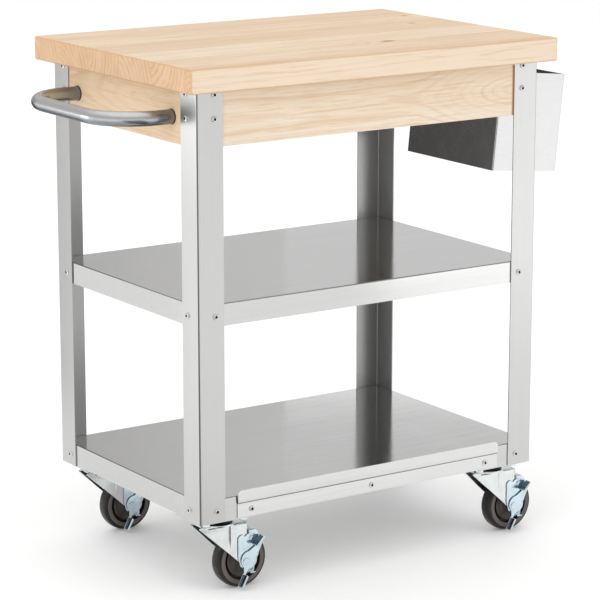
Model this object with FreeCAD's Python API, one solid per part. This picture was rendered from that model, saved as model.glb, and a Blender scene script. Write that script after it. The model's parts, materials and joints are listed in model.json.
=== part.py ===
"""Work cart: a wood top on bent steel legs, with two pan shelves, a push handle, a hung bin and casters.

Millimetres. +X runs right along the long side, +Y to the back and +Z up. Pieces are drawn about the middle of
the legs and then moved along X, so that the origin is on the floor under the middle of the whole cart.
"""
import FreeCAD
import Part
import math
import os

V = FreeCAD.Vector
X_AXIS = V(1, 0, 0)
Y_AXIS = V(0, 1, 0)
Z_AXIS = V(0, 0, 1)

# Wood top and aprons
total_height = 920.0
top_length = 762.0
top_depth = 535.0
top_thick = 42.0
top_edge_round = 4.0
overhang = 25.5
apron_height = 94.0
apron_thick = 22.0
apron_corner_cut = 3.0
cleat_size = 20.0
cleat_length = 520.0
top_screw_end = 42.0
cleat_screw_end = 73.0
cleat_screw_shift = 56.0
top_screw_bite = 22.0
apron_screw_bite = 12.0

# Bent angle legs
leg_width = 51.0
leg_sheet = 2.0
leg_bend = 1.5
leg_bottom = 137.5

# Pan shelves, named by the height of their upper faces
middle_shelf_top = 518.5
lower_shelf_top = 178.5
shelf_sheet = 1.5
shelf_flange = 39.0
shelf_bend = 2.0
deck_notch = 3.0
flange_notch = 8.0

# Front lip on the lower shelf
lip_length = 560.0
lip_rise = 9.0
lip_height = 48.5
lip_step = 2.0
lip_step_at = 26.0
lip_step_rise = 3.0
lip_corner_round = 8.0
lip_screw_spacing = 251.5
lip_screw_up = 12.5

# Screws: dome heads outside, nuts inside, both on the same shanks
screw_inset = 34.0
screw_shank = 2.5
screw_head = 5.3
screw_dome = 2.8
shelf_screw_drop = 21.0
top_row_drop = 6.5
wood_screw_depth = 18.0
screw_end_gap = 1.0
hole_play = 0.1
nut_flats = 8.0
nut_thick = 4.0
recess_width = 1.2
recess_length = 5.4
recess_depth = 1.4

# Push handle, a bent tube with closed ends
handle_tube = 12.7
handle_wall = 1.5
handle_half_width = 160.0
handle_reach = 113.0
handle_bend = 86.0
handle_drop = 50.0
handle_plug = 24.0
handle_bolt_bite = 16.0
handle_bolt = 4.0
bolt_flats = 13.0
bolt_head = 5.3

# Hung bin and its hanger
bin_length = 149.0
bin_width = 264.0
bin_height = 181.0
bin_sheet = 1.5
bin_hem = 12.0
bin_tilt = 5.9
bin_rest_gap = 0.5
bin_drop = 214.0
hook_width = 180.0
hook_slot = 5.5
hook_drop = 14.0
hook_gap = 0.4
hanger_sheet = 2.0
hanger_width = 210.0
hanger_lift = 2.0
hanger_bend_drop = 56.0
hanger_step = 4.2
hanger_screw_head = 4.5
hanger_screw_edge = 11.0
hanger_screw_side = 25.0

# Caster places and the fixed half of each caster
caster_inset_x = 62.2
caster_inset_y = 45.4
gusset_sheet = 3.0
gusset_length = 112.0
gusset_depth = 82.0
gusset_corner = 24.0
plate_length = 92.0
plate_depth = 66.0
plate_thick = 3.0
plate_corner = 8.0
plate_hole_x = 37.5
plate_hole_y = 24.0
plate_bolt = 4.0
plate_nut_thick = 6.5
race_outer = 26.0
race_inner = 12.0
race_gap = 0.6
kingpin = 6.0
kingpin_head = 9.5
kingpin_head_thick = 4.0
kingpin_head_round = 1.5
running_gap = 0.3
running_fit = 0.05

# Swivelling half of each caster
wheel_radius = 50.0
wheel_width = 28.0
tread_round = 8.0
shoulder_drop = 4.0
tread_ease = 1.2
ring_outer_drop = 7.0
ring_inner_drop = 12.0
ring_edge = 1.5
ring_step = 1.0
groove_outer_drop = 15.5
groove_inner_drop = 18.0
groove_slope = 1.0
groove_depth = 5.0
web_recess = 3.0
hub_flare = 1.5
hub_radius = 14.0
hub_width = 34.0
bush_radius = 8.0
bush_width = 35.4
axle_radius = 5.0
trail = 43.3
crown_top = 124.5
crown_radius = 29.0
fork_sheet = 2.5
fork_inside = 36.0
fork_front = 46.0
fork_back = 48.0
fork_tip = 3.5
fork_tip_setback = 8.0
fork_lead = 40.0
fork_step = 14.0
fork_step_run = 8.0
fork_shoulder = 4.5
axle_boss = 8.0
bracket_sheet = 2.0
bracket_front = 14.8
bracket_back = 26.7
bracket_front_taper = 4.5
bracket_back_taper = 2.0
bracket_over = 55.0
bracket_shoulder = 7.0
bracket_under = 21.0
bracket_lip = 6.5
lip_start = 6.0
lip_width = 11.0
shoe_start = 6.7
shoe_width = 14.0
shoe_reach = 34.0
lever_sheet = 2.5
cam_radius = 16.0
cam_forward = 5.7
cam_up = 2.0
pedal_depth = 15.0
pedal_arm = 19.0
pedal_back = 29.5
pedal_up = 40.0
pedal_run = 15.2
pedal_fall = 11.4
pedal_tip_up = 4.0
release_depth = 11.0
release_arm = 11.0
release_width = 6.0
release_root_forward = 3.0
release_root_down = 22.0
release_tip_forward = 15.0
release_tip_down = 44.0
rivet_radius = 7.0
rivet_thick = 1.6
rivet_round = 1.0

# Worked out from the sizes above
under_top = total_height - top_thick
leg_x = top_length / 2 - overhang
leg_y = top_depth / 2 - overhang
inner_x = leg_x - leg_sheet
inner_y = leg_y - leg_sheet
apron_bottom = under_top - apron_height
apron_middle = under_top - apron_height / 2
top_row = under_top - top_row_drop
handle_height = under_top - handle_drop
bin_bottom_at = under_top - bin_drop
hanger_bottom = apron_bottom + hanger_lift
hanger_bend_at = under_top - hanger_bend_drop
flange_bottom = lower_shelf_top - shelf_flange
plate_top = flange_bottom - gusset_sheet
plate_bottom = plate_top - plate_thick
caster_x = leg_x - caster_inset_x
caster_y = leg_y - caster_inset_y
fork_outside = fork_inside + 2 * fork_sheet
tilt = math.radians(bin_tilt)
bin_axis = V(math.sin(tilt), 0, math.cos(tilt))
hanger_face = inner_x + hanger_sheet
bin_bottom_x = hanger_face + bin_rest_gap - (hanger_bottom - bin_bottom_at) * math.tan(tilt)
bin_reach = bin_bottom_x + bin_length * math.cos(tilt) + bin_height * math.sin(tilt)
handle_end = inner_x + handle_reach + handle_tube
frame_shift = (handle_end - bin_reach) / 2

CORNERS = {
    "front_left": (-1, -1),
    "front_right": (1, -1),
    "rear_left": (-1, 1),
    "rear_right": (1, 1),
}

nodes = {}


def block(x0, x1, y0, y1, z0, z1):
    """A box between two opposite corners."""
    return Part.makeBox(x1 - x0, y1 - y0, z1 - z0, V(x0, y0, z0))


def prism(points, along):
    """A closed outline of points, swept straight along a vector."""
    return Part.Face(Part.makePolygon(points + points[:1])).extrude(along)


def hexagon(flats, thick):
    """A hexagonal prism standing on the XY plane."""
    reach = flats / math.sqrt(3)
    turns = [math.radians(60 * k) for k in range(6)]
    return prism([V(reach * math.cos(a), reach * math.sin(a), 0) for a in turns], Z_AXIS * thick)


def tube(outer, inner, z0, z1):
    """An upright ring between two heights."""
    ring = Part.makeCylinder(outer, z1 - z0, V(0, 0, z0))
    return ring.cut(Part.makeCylinder(inner, z1 - z0, V(0, 0, z0)))


def placed(shape, position, direction):
    """A copy of a shape drawn along +Z, set at a position and pointing in a direction."""
    copy = shape.copy()
    copy.Placement = FreeCAD.Placement(position, FreeCAD.Rotation(Z_AXIS, direction))
    return copy


def moved(shape, offset):
    """A copy of a shape, shifted."""
    copy = shape.copy()
    copy.translate(offset)
    return copy


def mirrored(shape, side_x, side_y):
    """A shape drawn for the front left corner, mirrored into the corner on the given sides."""
    if side_x > 0:
        shape = shape.mirror(V(0, 0, 0), X_AXIS)
    if side_y > 0:
        shape = shape.mirror(V(0, 0, 0), Y_AXIS)
    return shape


def edges_at(shape, test):
    """The edges whose middle points pass a test."""
    return [edge for edge in shape.Edges if test(edge.CenterOfMass, edge)]


def upright(edge):
    """Whether an edge runs straight up."""
    ends = edge.Vertexes
    return len(ends) == 2 and abs(ends[0].X - ends[1].X) < 0.01 and abs(ends[0].Y - ends[1].Y) < 0.01


def drilled(shape, places, radius, depth):
    """A shape with a round hole at each (position, direction), starting just outside it."""
    for position, direction in places:
        start = position - direction * 1.0
        shape = shape.cut(Part.makeCylinder(radius, depth + 1.0, start, direction))
    return shape


def dome_screw(length):
    """A screw along +Z with its domed, cross-slotted head below the XY plane."""
    radius = (screw_head ** 2 + screw_dome ** 2) / (2 * screw_dome)
    half_turn = math.asin(screw_head / radius) / 2
    on_dome = V(radius * math.sin(half_turn), 0, radius - screw_dome - radius * math.cos(half_turn))
    dome = Part.Arc(V(screw_head, 0, 0), on_dome, V(0, 0, -screw_dome)).toShape()
    rest = Part.makePolygon([V(0, 0, -screw_dome), V(0, 0, length), V(screw_shank, 0, length),
                             V(screw_shank, 0, 0), V(screw_head, 0, 0)])
    profile = Part.Face(Part.Wire([dome] + rest.Edges))
    screw = profile.revolve(V(0, 0, 0), Z_AXIS, 360)
    for along, across in ((recess_length, recess_width), (recess_width, recess_length)):
        floor = recess_depth - screw_dome
        screw = screw.cut(block(-along / 2, along / 2, -across / 2, across / 2, -screw_dome - 1, floor))
    return screw


def flush_screw(length):
    """A screw along +Z with a flat conical head that ends at the XY plane."""
    cone = Part.makeCone(hanger_screw_head, screw_shank, hanger_screw_head - screw_shank)
    return cone.fuse(Part.makeCylinder(screw_shank, length)).removeSplitter()


def nut(flats, thick, hole):
    """A hexagonal nut standing on the XY plane."""
    return hexagon(flats, thick).cut(Part.makeCylinder(hole, thick))


def hex_bolt(shank, length):
    """A bolt along +Z with its hexagonal head below the XY plane."""
    head = moved(hexagon(bolt_flats, bolt_head), V(0, 0, -bolt_head))
    return head.fuse(Part.makeCylinder(shank, length)).removeSplitter()


def leg_places(height):
    """Where the screws at one height enter the outer faces of all eight leg flanges."""
    places = []
    for side_x, side_y in CORNERS.values():
        places.append((V(side_x * (leg_x - screw_inset), side_y * leg_y, height), V(0, -side_y, 0)))
        places.append((V(side_x * leg_x, side_y * (leg_y - screw_inset), height), V(-side_x, 0, 0)))
    return places


def shelf_places(shelf_top):
    """Leg screw places at one shelf."""
    return leg_places(shelf_top - shelf_screw_drop)


def lip_places():
    """Where the lip's screws enter its front face."""
    height = lip_bottom + lip_screw_up
    face = -inner_y - shelf_sheet
    return [(V(k * lip_screw_spacing, face, height), Y_AXIS) for k in (-1, 0, 1)]


def hanger_places():
    """Where the flush screws enter the bin hanger."""
    heights = (hanger_bottom + hanger_screw_edge, hanger_bend_at - hanger_screw_edge)
    aside = hanger_width / 2 - hanger_screw_side
    return [(V(hanger_face, k * aside, z), V(-1, 0, 0)) for k in (-1, 1) for z in heights]


def handle_places():
    """Where the handle's bolts enter the inner face of the left apron."""
    face = -inner_x + apron_thick
    return [(V(face, k * handle_half_width, handle_height), V(-1, 0, 0)) for k in (-1, 1)]


def cleat_places():
    """Where screws enter the two cleats: from below into the top, and from inside into the aprons."""
    face = inner_y - apron_thick - cleat_size
    middle = face + cleat_size / 2
    upwards = []
    outwards = []
    for side in (-1, 1):
        for k in (-1, 0, 1):
            up_x = k * (cleat_length / 2 - top_screw_end)
            upwards.append((V(up_x, side * middle, under_top - cleat_size), Z_AXIS))
            out_x = k * (cleat_length / 2 - cleat_screw_end) + cleat_screw_shift
            outwards.append((V(out_x, side * face, under_top - cleat_size / 2), V(0, side, 0)))
    return upwards, outwards


lip_bottom = lower_shelf_top + lip_rise - lip_height
up_places, out_places = cleat_places()
all_apron_places = leg_places(apron_middle) + leg_places(top_row)


# Wood top, aprons and cleats
def make_top():
    top = block(-top_length / 2, top_length / 2, -top_depth / 2, top_depth / 2, under_top, total_height)
    top = top.makeFillet(top_edge_round, top.Edges)
    starts = [(V(p.x, p.y, under_top), d) for p, d in up_places]
    return drilled(top, starts, screw_shank + hole_play, top_screw_bite + screw_end_gap)


def make_long_apron(side):
    outer = side * inner_y
    inner = side * (inner_y - apron_thick)
    apron = block(-inner_x, inner_x, min(outer, inner), max(outer, inner), apron_bottom, under_top)
    corners = edges_at(apron, lambda c, e: upright(e) and abs(c.y - outer) < 0.01)
    apron = apron.makeChamfer(apron_corner_cut, corners)
    apron = drilled(apron, all_apron_places, screw_shank + hole_play, leg_sheet + wood_screw_depth)
    starts = [(V(p.x, inner, p.z), d) for p, d in out_places]
    return drilled(apron, starts, screw_shank + hole_play, apron_screw_bite + screw_end_gap)


def make_side_apron(side):
    outer = side * inner_x
    inner = side * (inner_x - apron_thick)
    ends = inner_y - apron_thick
    apron = block(min(outer, inner), max(outer, inner), -ends, ends, apron_bottom, under_top)
    apron = drilled(apron, all_apron_places, screw_shank + hole_play, leg_sheet + wood_screw_depth)
    if side < 0:
        return drilled(apron, handle_places(), handle_bolt + hole_play, apron_thick)
    starts = [(V(inner_x, p.y, p.z), d) for p, d in hanger_places()]
    return drilled(apron, starts, screw_shank + hole_play, wood_screw_depth)


def make_cleat(side):
    outer = side * (inner_y - apron_thick)
    inner = outer - side * cleat_size
    half = cleat_length / 2
    cleat = block(-half, half, min(outer, inner), max(outer, inner), under_top - cleat_size, under_top)
    return drilled(cleat, up_places + out_places, screw_shank + hole_play, cleat_size)


nodes["wood_top"] = make_top()
nodes["front_apron"] = make_long_apron(-1)
nodes["rear_apron"] = make_long_apron(1)
nodes["left_apron"] = make_side_apron(-1)
nodes["right_apron"] = make_side_apron(1)
nodes["front_top_cleat"] = make_cleat(-1)
nodes["rear_top_cleat"] = make_cleat(1)


# Bent angle legs
def make_leg():
    """The front left leg, open towards the cart's middle."""
    outline = [(0, 0), (leg_width, 0), (leg_width, leg_sheet), (leg_sheet, leg_sheet),
               (leg_sheet, leg_width), (0, leg_width)]
    leg = prism([V(x - leg_x, y - leg_y, leg_bottom) for x, y in outline], Z_AXIS * (under_top - leg_bottom))
    outside = edges_at(leg, lambda c, e: upright(e) and c.x < -leg_x + 0.1 and c.y < -leg_y + 0.1)
    leg = leg.makeFillet(leg_bend + leg_sheet, outside)
    inside = edges_at(leg, lambda c, e: upright(e) and abs(c.x + inner_x) < 0.1 and abs(c.y + inner_y) < 0.1)
    leg = leg.makeFillet(leg_bend, inside)
    places = all_apron_places + shelf_places(middle_shelf_top) + shelf_places(lower_shelf_top)
    return drilled(leg, places, screw_shank + hole_play, leg_sheet)


front_left_leg = make_leg()
for corner, sides in CORNERS.items():
    nodes["leg_" + corner] = mirrored(front_left_leg, *sides)


# Pan shelves and the lip
def make_shelf(shelf_top):
    """A bent pan: a flat deck with four flanges, cut away at the corners."""
    bottom = shelf_top - shelf_flange
    pan = block(-inner_x, inner_x, -inner_y, inner_y, bottom, shelf_top)
    rim = edges_at(pan, lambda c, e: c.z > shelf_top - 0.01)
    pan = pan.makeFillet(shelf_bend, rim)
    wide = inner_x - shelf_sheet
    deep = inner_y - shelf_sheet
    pan = pan.cut(block(-wide, wide, -deep, deep, bottom - 1, shelf_top - shelf_sheet))
    under_bend = shelf_top - shelf_sheet - shelf_bend
    for side_x, side_y in CORNERS.values():
        for notch, height in ((deck_notch, shelf_top + 1), (flange_notch, under_bend)):
            corner_x = side_x * (inner_x - notch / 2)
            corner_y = side_y * (inner_y - notch / 2)
            reach = notch / 2
            pan = pan.cut(block(corner_x - reach, corner_x + reach, corner_y - reach, corner_y + reach,
                                bottom - 1, height))
    return drilled(pan, shelf_places(shelf_top), screw_shank + hole_play, leg_sheet + shelf_sheet + 1)


def make_lip():
    """A strip screwed flat to the flange, stepped forwards above its fold, with round upper corners."""
    back = -inner_y
    step = back - lip_step
    fold = lip_bottom + lip_step_at
    lip_top = lip_bottom + lip_height
    outline = [(back, lip_bottom), (back, fold), (step, fold + lip_step_rise), (step, lip_top)]
    outline += [(y - shelf_sheet, z) for y, z in reversed(outline)]
    strip = prism([V(-lip_length / 2, y, z) for y, z in outline], X_AXIS * lip_length)
    corners = edges_at(strip, lambda c, e: abs(abs(c.x) - lip_length / 2) < 0.01 and c.z > lip_top - 0.01)
    strip = strip.makeFillet(lip_corner_round, corners)
    return drilled(strip, lip_places(), screw_shank + hole_play, shelf_sheet)


nodes["middle_shelf"] = make_shelf(middle_shelf_top)
lower_pan = make_shelf(lower_shelf_top)
nodes["lower_shelf"] = drilled(lower_pan, lip_places(), screw_shank + hole_play, 2 * shelf_sheet + 1)
nodes["front_lip"] = make_lip()


# Push handle
def make_handle():
    """A U of round tube with two bends, its ends closed and tapped for the bolts."""
    out = -inner_x - handle_reach
    half = handle_half_width
    bend = handle_bend
    slant = bend * (1 - math.sqrt(0.5))

    def point(x, y):
        return V(x, y, handle_height)

    def swept(radius):
        circle = Part.Wire(Part.makeCircle(radius, point(-inner_x, -half), X_AXIS))
        return path.makePipeShell([circle], True, False)

    def arc(*points):
        return Part.Arc(*points).toShape()

    path = Part.Wire([
        Part.makeLine(point(-inner_x, -half), point(out + bend, -half)),
        arc(point(out + bend, -half), point(out + slant, slant - half), point(out, bend - half)),
        Part.makeLine(point(out, bend - half), point(out, half - bend)),
        arc(point(out, half - bend), point(out + slant, half - slant), point(out + bend, half)),
        Part.makeLine(point(out + bend, half), point(-inner_x, half)),
    ])
    bore = swept(handle_tube - handle_wall)
    for side in (-1, 1):
        end = V(-inner_x, side * half, handle_height)
        bore = bore.cut(Part.makeCylinder(handle_tube, handle_plug, end, V(-1, 0, 0)))
    handle = swept(handle_tube).cut(bore)
    starts = [(V(-inner_x, p.y, p.z), d) for p, d in handle_places()]
    return drilled(handle, starts, handle_bolt + hole_play, handle_bolt_bite + screw_end_gap)


nodes["push_handle"] = make_handle()


# Hung bin and its hanger
def make_bin():
    """An open box with a hemmed rim and a hook along its inner side, leaned out at the top."""
    half = bin_width / 2
    body = block(0, bin_length, -half, half, 0, bin_height)
    sides = edges_at(body, lambda c, e: upright(e))
    body = body.makeFillet(2 * bin_sheet, sides)
    wall = bin_sheet
    inside = block(wall, bin_length - wall, -half + wall, half - wall, wall, bin_height - bin_hem)
    hem = 2 * wall
    mouth = block(hem, bin_length - hem, -half + hem, half - hem, bin_height - bin_hem, bin_height + 1)
    body = body.cut(inside).cut(mouth)
    ears = hook_width / 2
    arm = block(-hook_slot - wall, hem, -ears, ears, bin_height - wall, bin_height)
    drop = block(-hook_slot - wall, -hook_slot, -ears, ears, bin_height - hook_drop, bin_height)
    body = body.fuse(arm).fuse(drop).removeSplitter()
    body.rotate(V(0, 0, 0), Y_AXIS, bin_tilt)
    return moved(body, V(bin_bottom_x, 0, bin_bottom_at))


def make_hanger():
    """A strip flat on the right apron, stepped out near its top into an upright edge for the bin's hook."""
    slot_middle = bin_height - bin_sheet
    hook_roof = bin_bottom_at + slot_middle * math.cos(tilt) + hook_slot / 2 * math.sin(tilt)
    top = hook_roof - hook_gap
    step = hanger_step
    outline = [(inner_x, hanger_bottom), (inner_x, hanger_bend_at), (inner_x + step, hanger_bend_at + step),
               (inner_x + step, top)]
    outline += [(x + hanger_sheet, z) for x, z in reversed(outline)]
    half = hanger_width / 2
    strip = prism([V(x, -half, z) for x, z in outline], Y_AXIS * hanger_width)
    strip = drilled(strip, hanger_places(), screw_shank + hole_play, hanger_sheet)
    depth = hanger_screw_head - screw_shank
    for position, direction in hanger_places():
        strip = strip.cut(Part.makeCone(hanger_screw_head + hole_play, screw_shank + hole_play, depth,
                                        position, direction))
    return strip


nodes["bin"] = make_bin()
nodes["bin_hanger"] = make_hanger()


# Screws, each node a set of equal fasteners
def screw_set(screw, places, nut_at=None):
    """A screw at each place, with a nut at a distance along it where one is asked for."""
    solids = [placed(screw, position, direction) for position, direction in places]
    if nut_at is not None:
        small_nut = nut(nut_flats, nut_thick, screw_shank)
        for position, direction in places:
            solids.append(placed(small_nut, position + direction * nut_at, direction))
    return Part.makeCompound(solids)


shelf_grip = leg_sheet + shelf_sheet
lip_grip = 2 * shelf_sheet
past_nut = nut_thick + screw_end_gap
in_wood = wood_screw_depth - screw_end_gap
nodes["apron_screws"] = screw_set(dome_screw(leg_sheet + in_wood), all_apron_places)
for name, height in (("middle_shelf_screws", middle_shelf_top), ("lower_shelf_screws", lower_shelf_top)):
    nodes[name] = screw_set(dome_screw(shelf_grip + past_nut), shelf_places(height), shelf_grip)
nodes["lip_screws"] = screw_set(dome_screw(lip_grip + past_nut), lip_places(), lip_grip)
nodes["hanger_screws"] = screw_set(flush_screw(hanger_sheet + in_wood), hanger_places())
nodes["top_screws"] = screw_set(dome_screw(cleat_size + top_screw_bite), up_places)
nodes["cleat_screws"] = screw_set(dome_screw(cleat_size + apron_screw_bite), out_places)
nodes["handle_bolts"] = screw_set(hex_bolt(handle_bolt, apron_thick + handle_bolt_bite), handle_places())


# Caster gussets, plates, bolts and kingpins, all fixed to the cart
def bolt_places():
    """The four bolt holes of a caster plate, about its middle."""
    return [(x, y) for x in (-plate_hole_x, plate_hole_x) for y in (-plate_hole_y, plate_hole_y)]


def make_gusset():
    """The front left corner plate, under the shelf's flange and against the leg's inside."""
    left = -inner_x
    right = left + gusset_length
    front = -inner_y
    plate = block(left, right, front, front + gusset_depth, plate_top, plate_top + gusset_sheet)
    in_leg = edges_at(plate, lambda c, e: upright(e) and c.x < left + 1 and c.y < front + 1)
    plate = plate.makeChamfer(apron_corner_cut, in_leg)
    free = edges_at(plate, lambda c, e: upright(e) and c.x > right - 1 and c.y > front + 1)
    plate = plate.makeChamfer(gusset_corner, free)
    holes = [(V(x - caster_x, y - caster_y, plate_top), Z_AXIS) for x, y in bolt_places()]
    return drilled(plate, holes, plate_bolt + hole_play, gusset_sheet)


def make_caster_plate():
    """A bolted plate with the upper race ring under it."""
    half_x = plate_length / 2
    half_y = plate_depth / 2
    plate = block(-half_x, half_x, -half_y, half_y, plate_bottom, plate_top)
    plate = plate.makeFillet(plate_corner, edges_at(plate, lambda c, e: upright(e)))
    plate = plate.fuse(tube(race_outer, race_inner, crown_top + race_gap, plate_bottom)).removeSplitter()
    holes = [(V(x, y, plate_bottom), Z_AXIS) for x, y in bolt_places()]
    plate = drilled(plate, holes, plate_bolt + hole_play, plate_thick)
    return plate.cut(Part.makeCylinder(kingpin + running_fit, plate_thick, V(0, 0, plate_bottom)))


def make_kingpin():
    """A headed pin from the plate down through the crown."""
    head_top = crown_top - fork_sheet - running_gap
    pin = Part.makeCylinder(kingpin, plate_top - head_top, V(0, 0, head_top))
    head = Part.makeCylinder(kingpin_head, kingpin_head_thick, V(0, 0, head_top - kingpin_head_thick))
    rim = edges_at(head, lambda c, e: c.z < head_top - kingpin_head_thick + 0.01)
    return pin.fuse(head.makeFillet(kingpin_head_round, rim)).removeSplitter()


def make_plate_bolts():
    """Four bolts up through a caster plate and its gusset, with nuts on top."""
    grip = plate_thick + gusset_sheet
    bolt = hex_bolt(plate_bolt, grip + plate_nut_thick + screw_end_gap)
    top_nut = nut(bolt_flats, plate_nut_thick, plate_bolt)
    solids = []
    for x, y in bolt_places():
        solids.append(moved(bolt, V(x, y, plate_bottom)))
        solids.append(moved(top_nut, V(x, y, plate_bottom + grip)))
    return solids


# Fork, brake and wheel of one caster, drawn about its swivel axis with the wheel trailing along +X
def side_plate(points, y0, y1):
    """An outline in X and Z, swept between two Y values."""
    return prism([V(x, y0, z) for x, z in points], V(0, y1 - y0, 0))


def axle_hole(radius):
    """A cutter along the axle, longer than the caster is wide."""
    return Part.makeCylinder(radius, 4 * fork_outside, V(trail, -2 * fork_outside, wheel_radius), Y_AXIS)


def make_fork():
    """A stamped fork: a round crown, a bridge that steps down to the rear, and two slanted legs."""
    half = fork_outside / 2
    under_crown = crown_top - fork_sheet
    crown = Part.makeCylinder(crown_radius, fork_sheet, V(0, 0, under_crown))
    shoulder = crown_top - fork_shoulder
    step_end = fork_step + fork_step_run
    bridge_front = fork_tip_setback - fork_front
    bridge_top = [(bridge_front, crown_top), (fork_step, crown_top),
                  (step_end, shoulder), (fork_back, shoulder)]
    bridge_under = [(x, z - fork_sheet) for x, z in reversed(bridge_top)]
    bridge = side_plate(bridge_top + bridge_under, -half, half)
    fork = crown.fuse(bridge)
    lead = math.radians(fork_lead)
    boss_x = trail - axle_boss * math.sin(lead)
    boss_z = wheel_radius - axle_boss * math.cos(lead)
    for side in (-1, 1):
        near = side * fork_inside / 2
        far = side * half
        outline = [(-fork_front, crown_top), (-fork_front, crown_top - fork_tip), (boss_x, boss_z),
                   (trail + axle_boss, wheel_radius), (fork_back, shoulder), (step_end, shoulder),
                   (fork_step, crown_top)]
        leg = side_plate(outline, min(near, far), max(near, far))
        boss = Part.makeCylinder(axle_boss, fork_sheet, V(trail, min(near, far), wheel_radius), Y_AXIS)
        fork = fork.fuse(leg).fuse(boss)
    fork = fork.removeSplitter()
    fork = fork.cut(Part.makeCylinder(kingpin + running_fit, fork_sheet + 2, V(0, 0, under_crown - 1)))
    return fork.cut(axle_hole(axle_radius + running_fit))


def make_bracket():
    """The brake's side plate on the fork leg, with a shoe over the tread and a folded lower lip."""
    inside = -fork_outside / 2
    outside = inside - bracket_sheet
    front = trail - bracket_front
    back = trail + bracket_back
    top = wheel_radius + bracket_over
    low = wheel_radius - bracket_under
    shoulder = top - bracket_shoulder
    shoe_front = trail + shoe_start
    shoe_back = shoe_front + shoe_width
    lip_front = trail + lip_start
    lip_back = lip_front + lip_width
    above = wheel_radius + axle_boss
    below = wheel_radius - axle_boss
    outline = [(front, shoulder - axle_boss / 2), (front, above), (front + bracket_front_taper, below),
               (lip_front, low), (lip_back, low), (lip_back + bracket_back_taper, below + axle_boss / 2),
               (back, above), (back, shoulder), (shoe_back, top), (shoe_front, top),
               (shoe_front, shoulder), (front + axle_boss, shoulder)]
    plate = side_plate(outline, outside, inside)
    shoe = block(shoe_front, shoe_back, outside, outside + shoe_reach, top - bracket_sheet, top)
    lip = block(lip_front, lip_back, outside - bracket_lip, outside, low, low + bracket_sheet)
    bracket = plate.fuse(shoe).fuse(lip).removeSplitter()
    return bracket.cut(axle_hole(axle_radius + running_fit))


def strip_between(start, end, width, y0, y1):
    """A flat bar from one (x, z) point to another, swept between two Y values."""
    dx = end[0] - start[0]
    dz = end[1] - start[1]
    length = math.hypot(dx, dz)
    nx = -dz / length * width / 2
    nz = dx / length * width / 2
    corners = [(start[0] + nx, start[1] + nz), (end[0] + nx, end[1] + nz),
               (end[0] - nx, end[1] - nz), (start[0] - nx, start[1] - nz)]
    return side_plate(corners, y0, y1)


def make_lever():
    """A rocking brake lever: a cam plate on the axle, with a pedal and a release tab folded out of it."""
    inside = -fork_outside / 2 - bracket_sheet - running_gap
    outside = inside - lever_sheet
    cam_middle = (trail + cam_forward, wheel_radius + cam_up)
    cam = Part.makeCylinder(cam_radius, lever_sheet, V(cam_middle[0], outside, cam_middle[1]), Y_AXIS)
    pedal_end = (trail + pedal_back, wheel_radius + pedal_up)
    pedal_root = (pedal_end[0] - pedal_run, pedal_end[1] - pedal_fall)
    pedal_tip = (pedal_end[0], pedal_end[1] + pedal_tip_up)
    release_root = (trail - release_root_forward, wheel_radius - release_root_down)
    release_tip = (trail - release_tip_forward, wheel_radius - release_tip_down)
    lever = cam.fuse(strip_between(cam_middle, pedal_end, pedal_arm, outside, inside))
    lever = lever.fuse(strip_between(cam_middle, release_root, release_arm, outside, inside))
    lever = lever.fuse(strip_between(release_root, release_tip, release_width, outside, inside))
    lever = lever.fuse(strip_between(pedal_root, pedal_tip, lever_sheet, outside - pedal_depth, inside))
    lever = lever.fuse(strip_between(release_root, release_tip, lever_sheet, outside - release_depth, inside))
    return lever.removeSplitter().cut(axle_hole(axle_radius + running_fit))


def make_axle():
    """The axle bolt, hexagonal behind and riveted over outside the brake lever."""
    near = -fork_outside / 2 - bracket_sheet - lever_sheet - 2 * running_gap
    far = fork_outside / 2
    shank = Part.makeCylinder(axle_radius, far - near, V(trail, near, wheel_radius), Y_AXIS)
    rivet = Part.makeCylinder(rivet_radius, rivet_thick, V(trail, near - rivet_thick, wheel_radius), Y_AXIS)
    rim = edges_at(rivet, lambda c, e: c.y < near - rivet_thick + 0.01)
    head = placed(hexagon(bolt_flats, bolt_head), V(trail, far, wheel_radius), Y_AXIS)
    return shank.fuse(rivet.makeFillet(rivet_round, rim)).fuse(head).removeSplitter()


def make_wheel():
    """A one-piece wheel turned from a profile: rounded tread, raised ring, groove, thin web and hub."""
    r = wheel_radius
    half = wheel_width / 2
    web = half - web_recess
    groove = half - groove_depth
    groove_in = r - groove_inner_drop
    groove_out = r - groove_outer_drop
    shoulder = r - shoulder_drop
    side = [(bush_radius, hub_width / 2), (hub_radius, hub_width / 2), (hub_radius + hub_flare, web),
            (groove_in - groove_slope, web), (groove_in, groove), (groove_out, groove),
            (groove_out + groove_slope, half - ring_step / 2), (r - ring_inner_drop, half),
            (r - ring_outer_drop, half), (r - ring_outer_drop + ring_edge, half - ring_step),
            (shoulder, half - ring_step), (r - tread_ease, half - tread_round / 2),
            (r, half - tread_round)]
    outline = side + [(radius, -y) for radius, y in reversed(side)]
    points = [V(radius, y, 0) for radius, y in outline]
    wheel = Part.Face(Part.makePolygon(points + points[:1])).revolve(V(0, 0, 0), Y_AXIS, 360)
    return moved(wheel, V(trail, 0, wheel_radius))


def make_bush():
    """A steel sleeve pressed in the wheel, a little longer than its hub."""
    sleeve = tube(bush_radius, axle_radius + running_fit, -bush_width / 2, bush_width / 2)
    return placed(sleeve, V(trail, 0, wheel_radius), Y_AXIS)


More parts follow.
